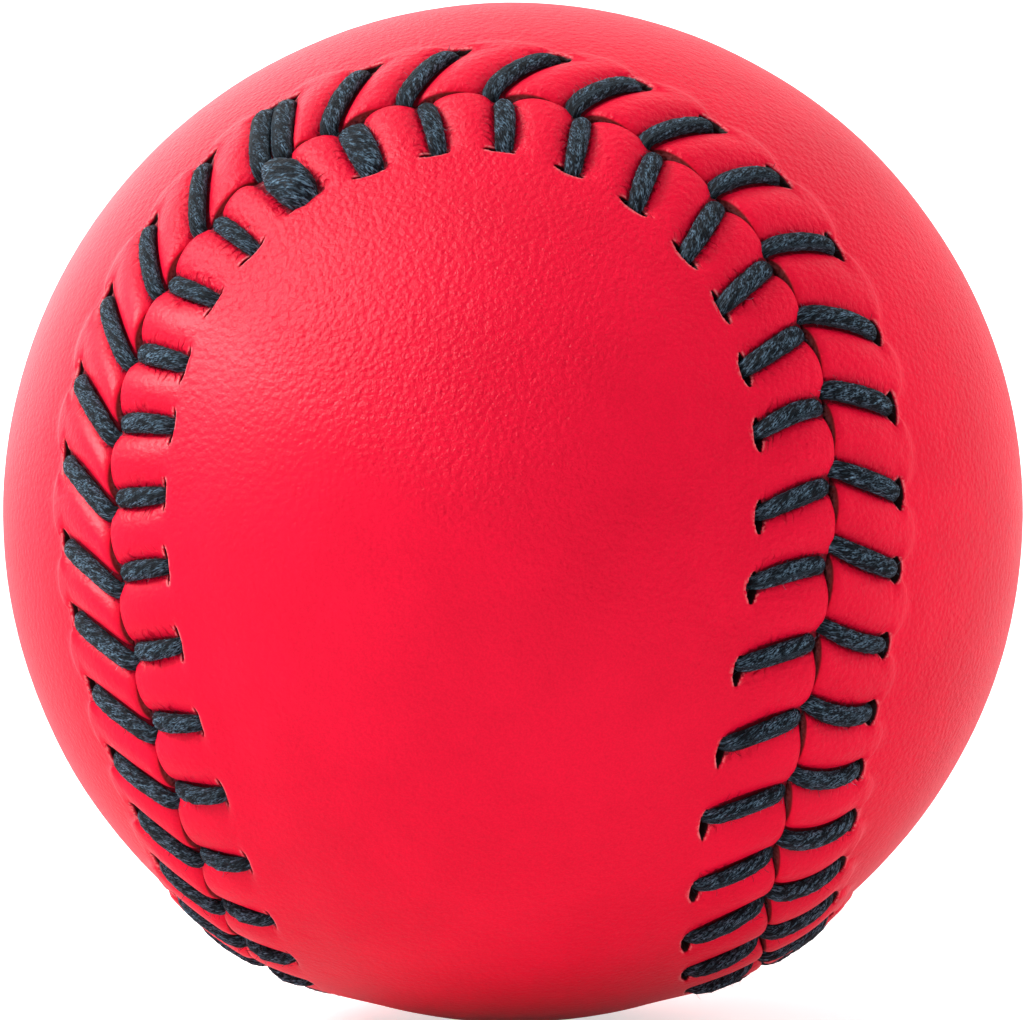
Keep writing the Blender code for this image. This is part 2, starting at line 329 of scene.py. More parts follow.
winding_tree, size, end = new_tree(
    "wound_yarn",
    "GeometryNodeTree",
    {
        "Geometry": SHAPE,
        "Radius": NUMBER,
        "Hollow radius": NUMBER,
        "Yarn radius": NUMBER,
        "Rounds": NUMBER,
        "Points": COUNT,
        "Turn each round": NUMBER,
        "Finish": FINISH,
    },
    {"Geometry": SHAPE},
)
share = add_node(winding_tree, "GeometryNodeInputIndex") / size["Points"]
angle = share * size["Rounds"] * math.tau
tilt = (share * size["Rounds"] * SWING_EACH_ROUND).math("SINE") * TILT_SWING + TILT_LEVEL
drift = share * size["Rounds"] * size["Turn each round"]
flat_x = angle.math("COSINE")
flat_y = angle.math("SINE") * tilt.math("COSINE")
height = size["Radius"] - size["Yarn radius"] * (2.0 - share)
round_place = add_node(
    winding_tree,
    "ShaderNodeCombineXYZ",
    {
        "X": flat_x * drift.math("COSINE") - flat_y * drift.math("SINE"),
        "Y": flat_x * drift.math("SINE") + flat_y * drift.math("COSINE"),
        "Z": angle.math("SINE") * tilt.math("SINE"),
    },
).stretch(height)
dots = add_node(winding_tree, "GeometryNodeMeshLine", {"Count": size["Points"]})
laid = add_node(winding_tree, "GeometryNodeSetPosition", {"Geometry": dots, "Position": round_place})
line = add_node(winding_tree, "GeometryNodeMeshToCurve", {"Mesh": laid})
yarn = sweep(winding_tree, line, size["Yarn radius"], YARN_SIDES, True)
under = size["Radius"] - size["Yarn radius"] * 2.0
bed = add_node(winding_tree, "GeometryNodeMeshIcoSphere", {"Radius": under, "Subdivisions": 5})
inside = {"Radius": size["Hollow radius"], "Subdivisions": 5}
hollow = add_node(winding_tree, "GeometryNodeMeshIcoSphere", inside)
lining = add_node(winding_tree, "GeometryNodeFlipFaces", {"Mesh": hollow})
close_tree(winding_tree, end, [yarn, bed, lining], size["Finish"])


def wind(name, node, slot, radius, hollow, yarn, rounds, pale, dark):
    """Winds one yarn over what lies inside it, and hands the winding over."""
    sizes = {
        "Radius": radius,
        "Hollow radius": hollow + WINDING_WALL,
        "Yarn radius": yarn,
        "Rounds": rounds,
        "Points": int(rounds * POINTS_PER_ROUND),
        "Turn each round": TURN_EACH_ROUND,
        "Finish": yarn_finish(slot, pale, dark),
    }
    hand_over(grow(name, bpy.data.meshes.new(name + "_base"), winding_tree, sizes), node)


wind(
    "wool",
    "inner_winding",
    "wool_yarn",
    radius=WOOL_RADIUS,
    hollow=PILL_RADIUS,
    yarn=WOOL_YARN,
    rounds=WOOL_ROUNDS,
    pale=WOOL_PALE,
    dark=WOOL_HOLLOW_SHADE,
)
wind(
    "cotton",
    "outer_winding",
    "cotton_yarn",
    radius=COTTON_RADIUS,
    hollow=WOOL_RADIUS,
    yarn=COTTON_YARN,
    rounds=COTTON_ROUNDS,
    pale=COTTON_PALE,
    dark=COTTON_HOLLOW_SHADE,
)


# Cover panels: two equal dumbbell-shaped pieces of red leather, butted edge to edge along one long seam.
# The sewing pulls their edges down into the seam, sinks each stitch in a bed, and lets the leather swell
# up in a pillow between two stitches. Each stitch goes through a slit that an awl cut along the seam.
BALL_RADIUS = 0.03025
SEAM_TILT = math.radians(60.7)
SEAM_WAVE = math.radians(18.0)
STITCHES = 66
KNOT_BEFORE_TIP = 0.013
REAR = 1
FRONT = -1
WELT_UNDERSIDE = 0.02946
LEATHER_UNDERSIDE = 0.02805
SEAM_SHIFT = -0.00038
EDGE_GAP = 0.00004
EDGE_NOTCH = {REAR: 0.00005, FRONT: 0.00014}
NOTCH_PLACE = 0.0008
NOTCH_SPREAD = 0.0008
STRIP_WIDTH = 0.0087
STEP_FOOT = 0.0074
STEP_TOP = 0.0064
SEAM_SAMPLES = 20001
SEAM_MARKS = 1500
LATTICE_STEP = 0.0011
LATTICE_CELL = 0.866 * LATTICE_STEP**2
COARSE_STEP = 0.0005
COARSE_EVERY = 4
UNDER_EVERY = 5
LOW_LEFT_TURN = -2.9
LOW_LEFT_SPREAD = 0.5
MILLIMETRE = 0.001


def seam_point(turn):
    """The seam's point on a ball of radius 1: it goes round twice, up and down between the panels."""
    height = -SEAM_TILT * np.cos(turn)
    swing = turn / 2 + SEAM_WAVE * np.sin(2 * turn)
    return np.stack([np.cos(height) * np.cos(swing), np.cos(height) * np.sin(swing), np.sin(height)], -1)


SEAM_TURNS = np.linspace(0, 4 * np.pi, SEAM_SAMPLES)
SEAM_STEPS = np.linalg.norm(np.diff(seam_point(SEAM_TURNS), axis=0), axis=1) * BALL_RADIUS
SEAM_RUN = np.concatenate([[0.0], np.cumsum(SEAM_STEPS)])
SEAM_LENGTH = SEAM_RUN[-1]
PITCH = SEAM_LENGTH / STITCHES
KNOT_PLACE = 0.75 * SEAM_LENGTH - KNOT_BEFORE_TIP


def turn_at(along):
    """The seam's turn at a distance along it."""
    return np.interp(np.asarray(along) % SEAM_LENGTH, SEAM_RUN, SEAM_TURNS)


def seam_frame(along):
    """The seam's point, the way ahead and the way across to the rear panel."""
    turn = turn_at(along)
    point = seam_point(turn)
    ahead = seam_point(turn + 1e-4) - seam_point(turn - 1e-4)
    ahead /= np.linalg.norm(ahead, axis=-1, keepdims=True)
    return point, ahead, np.cross(point, ahead)


def beside_seam(along, across):
    """The direction from the ball's centre to a place beside the seam, over the rear panel if above 0."""
    point, _, aside = seam_frame(along)
    angle = ((np.asarray(across) + SEAM_SHIFT) / BALL_RADIUS)[..., None]
    return point * np.cos(angle) + aside * np.sin(angle)


def wave(turn, level, sine=0.0, cosine=0.0, double_sine=0.0, double_cosine=0.0):
    """A value that swings as the seam bends round a lobe."""
    single = sine * np.sin(turn) + cosine * np.cos(turn)
    return level + single + double_sine * np.sin(2 * turn) + double_cosine * np.cos(2 * turn)


# The stitch at the knot, which is wider than the others, on each panel in mm.
KNOT_STITCH = {
    REAR: {"start": 0.0, "lead": 1.95, "reach": 5.8, "half": 1.3, "slit": 1.7, "shift": 0.0},
    FRONT: {"start": -0.45, "lead": 0.3, "reach": 4.2, "half": 1.25, "slit": 1.15, "shift": -0.1},
}


def lay_out_stitches(side):
    """Each stitch on one panel, in metres, worked out in mm from the seam's turn past the front lobe's tip.

    A leg goes from its start beside the seam, bows to one side, and ends at its lead along the seam and its
    reach across it. Half is half its width. The slit there has a length, a shift along the seam and a gape.
    """
    chance = np.random.default_rng(11 + side)
    turn = turn_at(KNOT_PLACE + PITCH * np.arange(STITCHES)) - 3 * np.pi
    meeting = wave(turn, 0.45, cosine=-0.6, double_sine=0.63)
    if side == REAR:
        start = meeting - 0.45
        lead = wave(turn, 2.0, sine=-0.84, cosine=0.11, double_sine=0.43)
        reach = wave(turn, 4.87, sine=0.15, cosine=0.15, double_sine=-0.13, double_cosine=-0.18)
        shift = wave(turn, 0.12, sine=-0.12)
    else:
        start = meeting + 0.45
        lead = wave(turn, 1.68, sine=0.79, cosine=-0.37, double_sine=0.70)
        reach = wave(turn, 4.81, sine=0.42, cosine=0.08, double_sine=-0.22)
        shift = 0.15 - 0.4 * np.cos(turn + 0.3)
    from_low_left = (turn - LOW_LEFT_TURN + np.pi) % math.tau - np.pi
    low_left = np.exp(-((from_low_left / LOW_LEFT_SPREAD) ** 2))
    half = 0.6 - 0.13 * low_left + chance.normal(0, 0.03, STITCHES)
    slit = chance.uniform(0.9, 1.2, STITCHES)
    gape = wave(turn, 0.2, sine=0.1, cosine=-0.05) * chance.uniform(0.8, 1.2, STITCHES)
    lead += chance.normal(0, 0.15, STITCHES)
    reach += chance.normal(0, 0.1, STITCHES)
    start += chance.normal(0, 0.1, STITCHES)
    bow = 0.075 * (lead - start) + chance.normal(0, 0.05, STITCHES)
    if side == REAR:
        slit -= 0.12
        bow += np.where(np.sin(turn) > 0, 0.45 * np.clip(-np.sin(2 * turn), 0, 1), 0)
        bow -= 0.4 * np.clip(np.cos(turn - 0.2), 0, 1)
        lead[-1] -= 0.5
    else:
        bow -= 0.35 * np.clip(np.sin(turn), 0, 1)
        reach -= 0.9 * low_left
        start[1] += 0.35
        half[1] = 0.92
    rows = {
        "start": start,
        "lead": lead,
        "reach": reach,
        "bow": bow,
        "half": half,
        "slit": slit,
        "shift": shift,
        "gape": gape,
    }
    for label, value in KNOT_STITCH[side].items():
        rows[label][0] = value
    return {label: values * MILLIMETRE for label, values in rows.items()}


SEWING = {REAR: lay_out_stitches(REAR), FRONT: lay_out_stitches(FRONT)}


def bowed_line(stitch, leg, across):
    """The distance along the seam of a leg's middle line, which bows to one side between seam and hole."""
    share = np.clip(across / leg["reach"], 0, 1)
    straight = leg["start"] + (leg["lead"] - leg["start"]) * share
    return KNOT_PLACE + stitch * PITCH + straight + 4 * leg["bow"] * share * (1 - share)


def leg_line(side, stitch, across):
    """The distance along the seam of a stitch's middle line, at a distance across from the seam."""
    row = {label: values[stitch % STITCHES] for label, values in SEWING[side].items()}
    return bowed_line(stitch, row, across)


# The leather's own columns, as shares of the way to the next stitch, and rows, in mm with the hole at 5.
HALF_COLUMNS = np.array([0.05, 0.09, 0.12, 0.145, 0.165, 0.19, 0.22, 0.26, 0.31, 0.37, 0.435])
COLUMNS = np.concatenate([[-0.5], -HALF_COLUMNS[::-1], [0.0], HALF_COLUMNS])
INNER_ROWS = np.array(
    [0, 0.05, 0.12, 0.22, 0.36, 0.55, 0.8, 1.1, 1.5, 1.95, 2.4, 2.85, 3.3, 3.7, 4.05, 4.35, 4.55, 4.68]
    + [4.78, 4.86, 4.93, 5.0]
) / 5
OUTER_ROWS = np.array(
    [0.07, 0.14, 0.21, 0.28, 0.36, 0.46, 0.6, 0.8, 1.05, 1.35, 1.7, 2.1, 2.6, 3.1, 3.7]
) / 3.7


def length_of(vectors):
    """The length of each vector."""
    return np.linalg.norm(vectors, axis=-1)


def lattice_points(side):
    """Points spread evenly over the ball, kept where they are well inside one panel."""
    number = int(4 * np.pi * BALL_RADIUS**2 / LATTICE_CELL)
    index = np.arange(number) + 0.5
    height = 1 - 2 * index / number
    swing = np.pi * (1 + 5**0.5) * index
    level = np.sqrt(1 - height**2)
    spread = np.stack([level * np.cos(swing), level * np.sin(swing), height], -1)
    point, _, aside = seam_frame(np.linspace(0, SEAM_LENGTH, SEAM_MARKS, endpoint=False))
    close = spread @ point.T
    nearest = close.argmax(1)
    distance = np.arccos(np.clip(close.max(1), -1, 1)) * BALL_RADIUS
    over = (spread * aside[nearest]).sum(1) * side > 0
    return spread[over & (distance > STRIP_WIDTH + LATTICE_STEP)]


def fill_middle(side, ring_points, filling, ring, start):
    """Triangles between a ring of points and the points inside it, facing outwards."""
    centre = np.array([0.0, 0.0, side])
    inside = filling / length_of(filling)[:, None]
    both = np.concatenate([ring_points, inside])
    scale = 1 / (1 + both @ centre)
    flat = both[:, :2] * scale[:, None]
    boundary = list(range(len(ring_points)))
    corners = [Vector(spot) for spot in flat]
    _, _, triangles, sources, _, _ = geometry.delaunay_2d_cdt(corners, [], [boundary], 1, 1e-9)
    numbers = np.concatenate([ring, start + np.arange(len(filling))])
    faces = []
    for triangle in triangles:
        origins = [sources[index][0] for index in triangle]
        a, b, c = both[origins]
        order = numbers[origins].tolist()
        faces.append(order if np.dot(np.cross(b - a, c - a), a) > 0 else order[::-1])
    return faces


def sewn_strip(side):
    """The strip beside the seam: its points' directions, their places along it, its edge and its values."""
    row = SEWING[side]
    stitch = np.repeat(np.arange(STITCHES), len(COLUMNS))
    column = np.tile(COLUMNS, STITCHES)
    toward = np.where(column < 0, -1, 1)
    share = np.abs(column)
    reach = (1 - share) * row["reach"][stitch] + share * row["reach"][(stitch + toward) % STITCHES]
    bend = np.sin(turn_at(KNOT_PLACE + PITCH * stitch) - 3 * np.pi)
    from_notch = column * PITCH - NOTCH_PLACE * np.sign(bend)
    notch = EDGE_NOTCH[side] * (0.55 + 0.45 * bend) * np.exp(-((from_notch / NOTCH_SPREAD) ** 2))
    edge = EDGE_GAP + notch
    across = np.concatenate(
        [
            edge + INNER_ROWS[:, None] * (reach - edge),
            reach + OUTER_ROWS[:, None] * (STRIP_WIDTH - reach),
        ]
    )
    own = leg_line(side, stitch, across)
    other = leg_line(side, stitch + toward, across)
    along = own + share * (other - own)
    direction = beside_seam(along, side * across)
    leg = beside_seam(own, side * across)
    step = 1e-5
    leg_ahead = beside_seam(leg_line(side, stitch, across + step), side * (across + step)) - beside_seam(
        leg_line(side, stitch, across - step), side * (across - step)
    )
    leg_ahead /= length_of(leg_ahead)[..., None]

    def beside_leg(vectors):
        """How far to the side of its leg each place is."""
        aside = (vectors - leg) * BALL_RADIUS
        aside -= leg_ahead * (aside * leg_ahead).sum(-1)[..., None]
        return length_of(aside)

    from_leg = beside_leg(direction)
    room = beside_leg(beside_seam((own + other) / 2, side * across))
    _, seam_ahead, _ = seam_frame(along)
    slit_along = ((direction - leg) * seam_ahead).sum(-1) * BALL_RADIUS - row["shift"][stitch]
    full = np.ones_like(across)
    strip = {
        "from_leg": from_leg,
        "room": room,
        "half": full * row["half"][stitch],
        "offset": across,
        "edge": across - edge,
        "slit_along": np.abs(slit_along) / row["slit"][stitch],
        "gape": full * row["gape"][stitch],
        "past_hole": across - reach,
        "skin": full,
    }
    return direction, along, edge, strip


# The values that the plain middle of a panel has, far from every stitch.
PLAIN_LEATHER = {
    "from_leg": 0.01,
    "room": 0.02,
    "half": 0.0007,
    "offset": 0.02,
    "edge": 0.02,
    "slit_along": 9.0,
    "gape": 0.0,
    "past_hole": 0.01,
    "skin": 1.0,
}


def panel_base(side):
    """The flat panel on the ball: a fine strip beside the seam, a coarse middle, and the inner face."""
    direction, along, edge, strip = sewn_strip(side)
    rows, columns = along.shape
    inner_across = np.stack([np.full(columns, STEP_FOOT), np.full(columns, STEP_TOP), edge])
    inner_radius = np.array([LEATHER_UNDERSIDE, WELT_UNDERSIDE, WELT_UNDERSIDE])[:, None]
    inner_along = np.stack([along[-1], along[-1], along[0]])
    inner = beside_seam(inner_along, side * inner_across) * inner_radius[..., None]
    points = [inner.reshape(-1, 3), (direction * BALL_RADIUS).reshape(-1, 3)]
    values = {label: [np.zeros(inner_across.size), grid.ravel()] for label, grid in strip.items()}
    total = rows + len(inner_across)
    first = np.arange(total - 1)[:, None] * columns + np.arange(columns)[None]
    second = np.arange(total - 1)[:, None] * columns + (np.arange(columns)[None] + 1) % columns
    quads = np.stack([first, second, second + columns, first + columns], -1).reshape(-1, 4)

    lattice = lattice_points(side)
    outer_ring = np.arange((total - 1) * columns, total * columns)
    coarse_across = np.full(columns // COARSE_EVERY, side * (STRIP_WIDTH + COARSE_STEP))
    coarse = beside_seam(along[-1][::COARSE_EVERY], coarse_across)
    filling = np.concatenate([coarse, lattice]) * BALL_RADIUS
    count = total * columns
    faces = fill_middle(side, direction[-1], filling, outer_ring, count)
    under_ring = np.arange(columns)
    under = lattice[::UNDER_EVERY] * LEATHER_UNDERSIDE
    under_faces = fill_middle(side, inner[0] / LEATHER_UNDERSIDE, under, under_ring, count + len(filling))
    points += [filling, under]
    for label, parts in values.items():
        parts.append(np.full(len(filling), PLAIN_LEATHER[label]))
        parts.append(np.zeros(len(under)))
    points = np.concatenate(points)
    values = {label: np.concatenate(parts) for label, parts in values.items()}
    corner = points[quads[len(quads) // 2]]
    outward = np.dot(np.cross(corner[1] - corner[0], corner[2] - corner[0]), corner[0])
    if outward < 0:
        quads = quads[:, ::-1]
    return points, [*quads.tolist(), *faces, *[face[::-1] for face in under_faces]], values


def mesh_with_values(name, points, edges, faces, values):
    """A mesh with named values on its points."""
    mesh = bpy.data.meshes.new(name)
    mesh.from_pydata(points, edges, faces)
    for label, numbers in values.items():
        wide = numbers.ndim == 2
        layer = mesh.attributes.new(label, "FLOAT_VECTOR" if wide else "FLOAT", "POINT")
        layer.data.foreach_set("vector" if wide else "value", np.ascontiguousarray(numbers, float).ravel())
    return mesh


def named(tree, label, kind="FLOAT"):
    """A named value of a mesh, inside a geometry tree."""
    return add_node(tree, "GeometryNodeInputNamedAttribute", {"Name": label}, "Attribute", data_type=kind)


# Where a stitch stops pressing the leather, and the slopes of a slit's wall and rim, from 0 to 1.
PRESSING_END = (0.0006, -0.0002)
SLIT_WALL = (0.00006, -0.00008)
SLIT_RIM = (0.00025, 0.0001)

welt_tree, size, end = new_tree(
    "sewn_welt",
    "GeometryNodeTree",
    {
        "Geometry": SHAPE,
        "Ball radius": NUMBER,
        "Welt height": NUMBER,
        "Welt near": NUMBER,
        "Welt far": NUMBER,
        "Bed depth": NUMBER,
        "Foot at stitch": NUMBER,
        "Foot between": NUMBER,
        "Foot slope": NUMBER,
        "Edge roll": NUMBER,
        "Edge drop": NUMBER,
        "Slit place": NUMBER,
        "Slit depth": NUMBER,
        "Dent size": NUMBER,
        "Dent depth": NUMBER,
        "Finish": FINISH,
    },
    {"Geometry": SHAPE},
)
from_leg = named(welt_tree, "from_leg")
half = named(welt_tree, "half")
offset = named(welt_tree, "offset")
edge = named(welt_tree, "edge")
past_hole = named(welt_tree, "past_hole")
swell = ((from_leg - half) / (named(welt_tree, "room") - half)).math("MAXIMUM", 0.0).math("MINIMUM", 1.0)
dome = (swell * (2.0 - swell)).math("POWER", 0.7)
foot = size["Foot at stitch"] + (size["Foot between"] - size["Foot at stitch"]) * dome
welt = offset.slope(size["Welt far"], size["Welt near"]) * past_hole.slope(foot + size["Foot slope"], foot)
pressed = (1.0 - dome) * past_hole.slope(*PRESSING_END)
bend = (1.0 - edge / size["Edge roll"]).math("MAXIMUM", 0.0)
roll = 1.0 - (1.0 - bend * bend).math("MAXIMUM", 0.0).math("SQRT")
opening = (1.0 - named(welt_tree, "slit_along").math("POWER", 2.0)).math("MAXIMUM", 0.0)
from_slit = (past_hole - size["Slit place"]).math("ABSOLUTE") - named(welt_tree, "gape") * opening
slit = from_slit.slope(*SLIT_WALL) * opening.slope(0.0, 0.25)
slit_rim = from_slit.slope(*SLIT_RIM) * opening.slope(0.0, 0.2) * (1.0 - slit)
spot = add_node(welt_tree, "GeometryNodeInputPosition")
dent = add_noise(welt_tree, spot, 1 / size["Dent size"], 1.0)
rise = (
    size["Welt height"] * welt * (1.0 - pressed)
    - size["Bed depth"] * pressed
    - size["Edge drop"] * roll
    - size["Slit depth"] * slit
    + size["Dent depth"] * (dent - 0.5)
)
lifted = spot.arrow("NORMALIZE").stretch(size["Ball radius"] + rise)
shaped = add_node(
    welt_tree,
    "GeometryNodeSetPosition",
    {"Geometry": size["Geometry"], "Selection": named(welt_tree, "skin"), "Position": lifted},
)
kept = store(welt_tree, store(welt_tree, shaped, "slit", slit), "slit_rim", slit_rim)
close_tree(welt_tree, end, [kept], size["Finish"])

LEATHER_RED = (0.95, 0.0045, 0.042, 1.0)
LEATHER_DEEP = (0.64, 0.002, 0.022, 1.0)
LEATHER_RAW = (0.2, 0.02, 0.022, 1.0)
# Near-black for the inside of each slit: painted shade that stands for the deep hole.
SLIT_PAINTED_SHADE = (0.02, 0.005, 0.006, 1.0)
LEATHER_FRAYED = (0.95, 0.30, 0.32, 1.0)
# Near-black beside the threads: partly dye rubbed off the thread and partly painted contact shadow.
THREAD_STAIN_AND_SHADOW = (0.05, 0.006, 0.012, 1.0)
PEBBLE_SIZE = 0.00035
GRAIN_BUMP = 0.00008
CREASE_STEP = 0.0006
STAIN_AND_SHADOW_WOBBLE = 0.0006
FUZZ_SCALE = 4500.0
PATCH_SCALE = 600.0

# Slopes from 0 to 1: before a hole, a thread's rim of stain and painted shadow, the creases beside it with
# their painted shade, the raw edge, and the grain that is worn smooth low on the left.
BEFORE_HOLE = (0.0003, -0.0002)
STAIN_AND_SHADOW_REACH = (0.00018, -0.00005)
CREASE_START = (-0.0038, -0.002)
CREASE_REACH = (0.0009, 0.0001)
RAW_EDGE = (0.00006, 0.0)
UNWORN_GRAIN = (-0.0005, 0.005)

grain_tree, grain_in, grain_end = new_tree(
    "leather_grain",
    "ShaderNodeTree",
    {"Place": ARROW, "Pebble": NUMBER},
    {"Height": NUMBER, "Tone": NUMBER},
)
place = grain_in["Place"]
cell = add_node(
    grain_tree,
    "ShaderNodeTexVoronoi",
    {"Vector": place, "Scale": 1 / grain_in["Pebble"], "Smoothness": 0.6},
    "Distance",
    feature="SMOOTH_F1",
)
fuzz = add_noise(grain_tree, place, 3 / grain_in["Pebble"], 3.0)
cloud = add_noise(grain_tree, place, 0.06 / grain_in["Pebble"], 3.0)
pore_place = {"Vector": place, "Scale": 0.5 / grain_in["Pebble"]}
pore = add_node(grain_tree, "ShaderNodeTexVoronoi", pore_place, "Distance").slope(0.2, 0.05)
feed(grain_end.inputs["Height"], fuzz * 0.7 - cell * 0.9 + cloud * 0.4 - pore * 0.3)
feed(grain_end.inputs["Tone"], fuzz.slope(0.3, 0.7) * 0.5 + cloud.slope(0.3, 0.7) * 0.4 + pore * 0.25)


def leather_finish(name, creasing):
    """Dyed leather: grain, mottled tone, creases with painted shade, a rim by each thread of rubbed-off dye
    and painted shadow, frayed slits, a raw dark edge, and painted shade in the cuts.
    """
    material, tree, shader, place = new_finish(name)
    group = tree.nodes.new("ShaderNodeGroup")
    group.node_tree = grain_tree
    feed(group.inputs["Place"], place)
    feed(group.inputs["Pebble"], PEBBLE_SIZE)
    beside = value_of(tree, "from_leg") - value_of(tree, "half")
    past_hole = value_of(tree, "past_hole")
    before_hole = past_hole.slope(*BEFORE_HOLE)
    fuzz = add_noise(tree, place, FUZZ_SCALE)
    # A dark rim beside each thread before its hole: partly rubbed-off dye and partly painted contact
    # shadow.
    stain_and_shadow = (beside + (fuzz - 0.5) * STAIN_AND_SHADOW_WOBBLE).slope(*STAIN_AND_SHADOW_REACH) * before_hole
    patch = add_noise(tree, place, PATCH_SCALE)
    swing = value_of(tree, "offset") * (math.tau / CREASE_STEP) + patch * 25.0
    ripple = swing.math("SINE").slope(0.5, 1.0)
    near_hole = past_hole.slope(*CREASE_START) * before_hole
    crease_relief_and_shade = ripple * beside.slope(*CREASE_REACH) * near_hole * patch.slope(0.44, 0.6) * creasing
    right = add_node(tree, "ShaderNodeSeparateXYZ", {0: place}, "X")
    unworn = (right * 0.6 + right.beside("Z") * 0.8).slope(*UNWORN_GRAIN)
    grain = Wire(group.outputs["Height"]) * (unworn * 0.62 + 0.38)
    # The leather's own mottled tone, plus painted shade that darkens the red in each crease, which is also
    # dented in.
    tone_and_crease_shade = Wire(group.outputs["Tone"]) * 0.5 + crease_relief_and_shade * 0.5
    dyed = blend_colours(tree, tone_and_crease_shade, LEATHER_RED, LEATHER_DEEP)
    slit = value_of(tree, "slit")
    fray = value_of(tree, "slit_rim") * slit.slope(0.04, 0.0) * fuzz.slope(0.36, 0.56)
    trimmed = blend_colours(tree, value_of(tree, "edge").slope(*RAW_EDGE), dyed, LEATHER_RAW)
    frayed = blend_colours(tree, fray * 0.7, trimmed, LEATHER_FRAYED)
    stained_and_shadowed = blend_colours(tree, stain_and_shadow * 0.8, frayed, THREAD_STAIN_AND_SHADOW)
    # Inside each slit the colour turns near-black: painted shade of the hole.
    feed(shader.inputs["Base Color"], blend_colours(tree, slit.slope(0.0, 0.12), stained_and_shadowed, SLIT_PAINTED_SHADE))
    add_relief(tree, shader, grain - crease_relief_and_shade * 1.6, GRAIN_BUMP)
    shader.inputs["Roughness"].default_value = 0.4
    shader.inputs["Specular IOR Level"].default_value = 0.085
    return material


# What both panels have, and then the welt of each: the rear one's is steep, and the front one's falls away
# softly behind its holes, with creases that are deeper and carry more painted shade.
SEWN_EDGE = {
    "Ball radius": BALL_RADIUS,
    "Bed depth": 0.0001,
    "Edge roll": 0.0006,
    "Edge drop": 0.00032,
    "Slit place": 0.00008,
    "Slit depth": 0.0011,
    "Dent size": 0.009,
    "Dent depth": 0.00012,
}
REAR_WELT = {
    "Welt height": 0.0006,
    "Welt near": 0.002,
    "Welt far": 0.010,
    "Foot at stitch": 0.0002,
    "Foot between": 0.0011,
    "Foot slope": 0.0008,
}
FRONT_WELT = {
    "Welt height": 0.0005,
    "Welt near": 0.001,
    "Welt far": 0.0075,
    "Foot at stitch": 0.0012,
    "Foot between": 0.0026,
    "Foot slope": 0.002,
}
REAR_CREASING = 0.4
FRONT_CREASING = 1.0


def cover(name, node, slot, side, welt, creasing):
    """Makes one panel with its own welt and creases, and hands it over."""
    points, faces, values = panel_base(side)
    base = mesh_with_values(name + "_base", points, [], faces, values)
    sizes = {**SEWN_EDGE, **welt, "Finish": leather_finish(slot, creasing)}
    hand_over(grow(name, base, welt_tree, sizes), node)


cover("rear_leather_panel", "rear_cover_panel", "rear_leather", REAR, REAR_WELT, REAR_CREASING)
cover("front_leather_panel", "front_cover_panel", "front_leather", FRONT, FRONT_WELT, FRONT_CREASING)


# Waxed threads: the two needles' threads of the seam, dark slate cord that has flattened and felted. Each
# comes up through a slit, lies over the leather, dives in the seam and runs under the other panel.
THREAD_HALF_DEPTH = 0.00042
LEG_HEIGHT = 0.00034
RUN_RADIUS = 0.02871
RUN_SHARES = np.array([0.35, 0.65])[:, None]
DOUBLED_HALF_WIDTH = 0.00068
RUN_HALF_WIDTH = 0.0005
RUN_HALF_DEPTH = 0.0004
LINE_STEPS = 4
THREAD_SIDES = 14
THREAD_TWIST = 110.0
THREAD_FIBRE_LENGTH = 0.00018
THREAD_FIBRES_ROUND = 8.0
THREAD_BUMP = 0.00014
FELT_SIZE = 0.0003
FELT_DEPTH = 0.00016
HAIRS_PER_SQUARE_METRE = 2.6e6
HAIR_LENGTH = 0.0004
HAIR_RADIUS = 0.00001
THREAD_DARK = (0.003, 0.006, 0.011, 1.0)
THREAD_PALE_AND_HIGHLIGHT = (0.2, 0.34, 0.48, 1.0)

# A leg's middle line in mm, as distances and heights over the ball: past its hole where it comes up, and
# then from the seam where it dives.
HOLE_STEPS = ((0.05, -1.35), (0.02, -0.78), (-0.14, -0.2), (-0.6, 0.14), (-1.4, 0.29))
DIVE_STEPS = {
    REAR: (
        (1.5, 0.33),
        (0.95, 0.33),
        (0.42, 0.27),
        (0.04, 0.08),
        (-0.16, -0.3),
        (-0.28, -0.75),
        (-0.7, -1.25),
    ),
    FRONT: ((1.9, 0.27), (1.35, 0.2), (0.95, 0.02), (0.65, -0.3), (0.4, -0.72), (0.0, -1.2)),
}

# A leg's width at the same steps, as a share of its full width.
HOLE_TAPER = (0.72, 0.75, 0.82, 0.94, 1.0, 1.04)
SEAM_TAPER = (1.03, 1.0, 0.95, 0.88, 0.8, 0.8, 0.8)


def leg_of(side, stitch):
    """One stitch's own leg: its seam end, hole and half sizes."""
    row = SEWING[side]
    number = stitch % STITCHES
    return {
        "side": side,
        "stitch": stitch,
        "start": row["start"][number],
        "lead": row["lead"][number],
        "reach": row["reach"][number],
        "bow": row["bow"][number],
        "wide": row["half"][number],
        "deep": THREAD_HALF_DEPTH,
        "taper": (HOLE_TAPER, SEAM_TAPER),
    }


def leg_points(leg):
    """The middle line of one leg over the leather, from under its slit to under the seam."""
    side = leg["side"]
    reach = leg["reach"]
    steps = [(reach + MILLIMETRE * past, MILLIMETRE * high) for past, high in HOLE_STEPS]
    steps.append((reach * 0.5, LEG_HEIGHT))
    steps += [(MILLIMETRE * far, MILLIMETRE * high) for far, high in DIVE_STEPS[side]]
    across = np.array([step[0] for step in steps])
    high = np.array([step[1] for step in steps]) + leg["deep"] - THREAD_HALF_DEPTH
    along = bowed_line(leg["stitch"], leg, across)
    return beside_seam(along, side * across) * (BALL_RADIUS + high)[:, None]


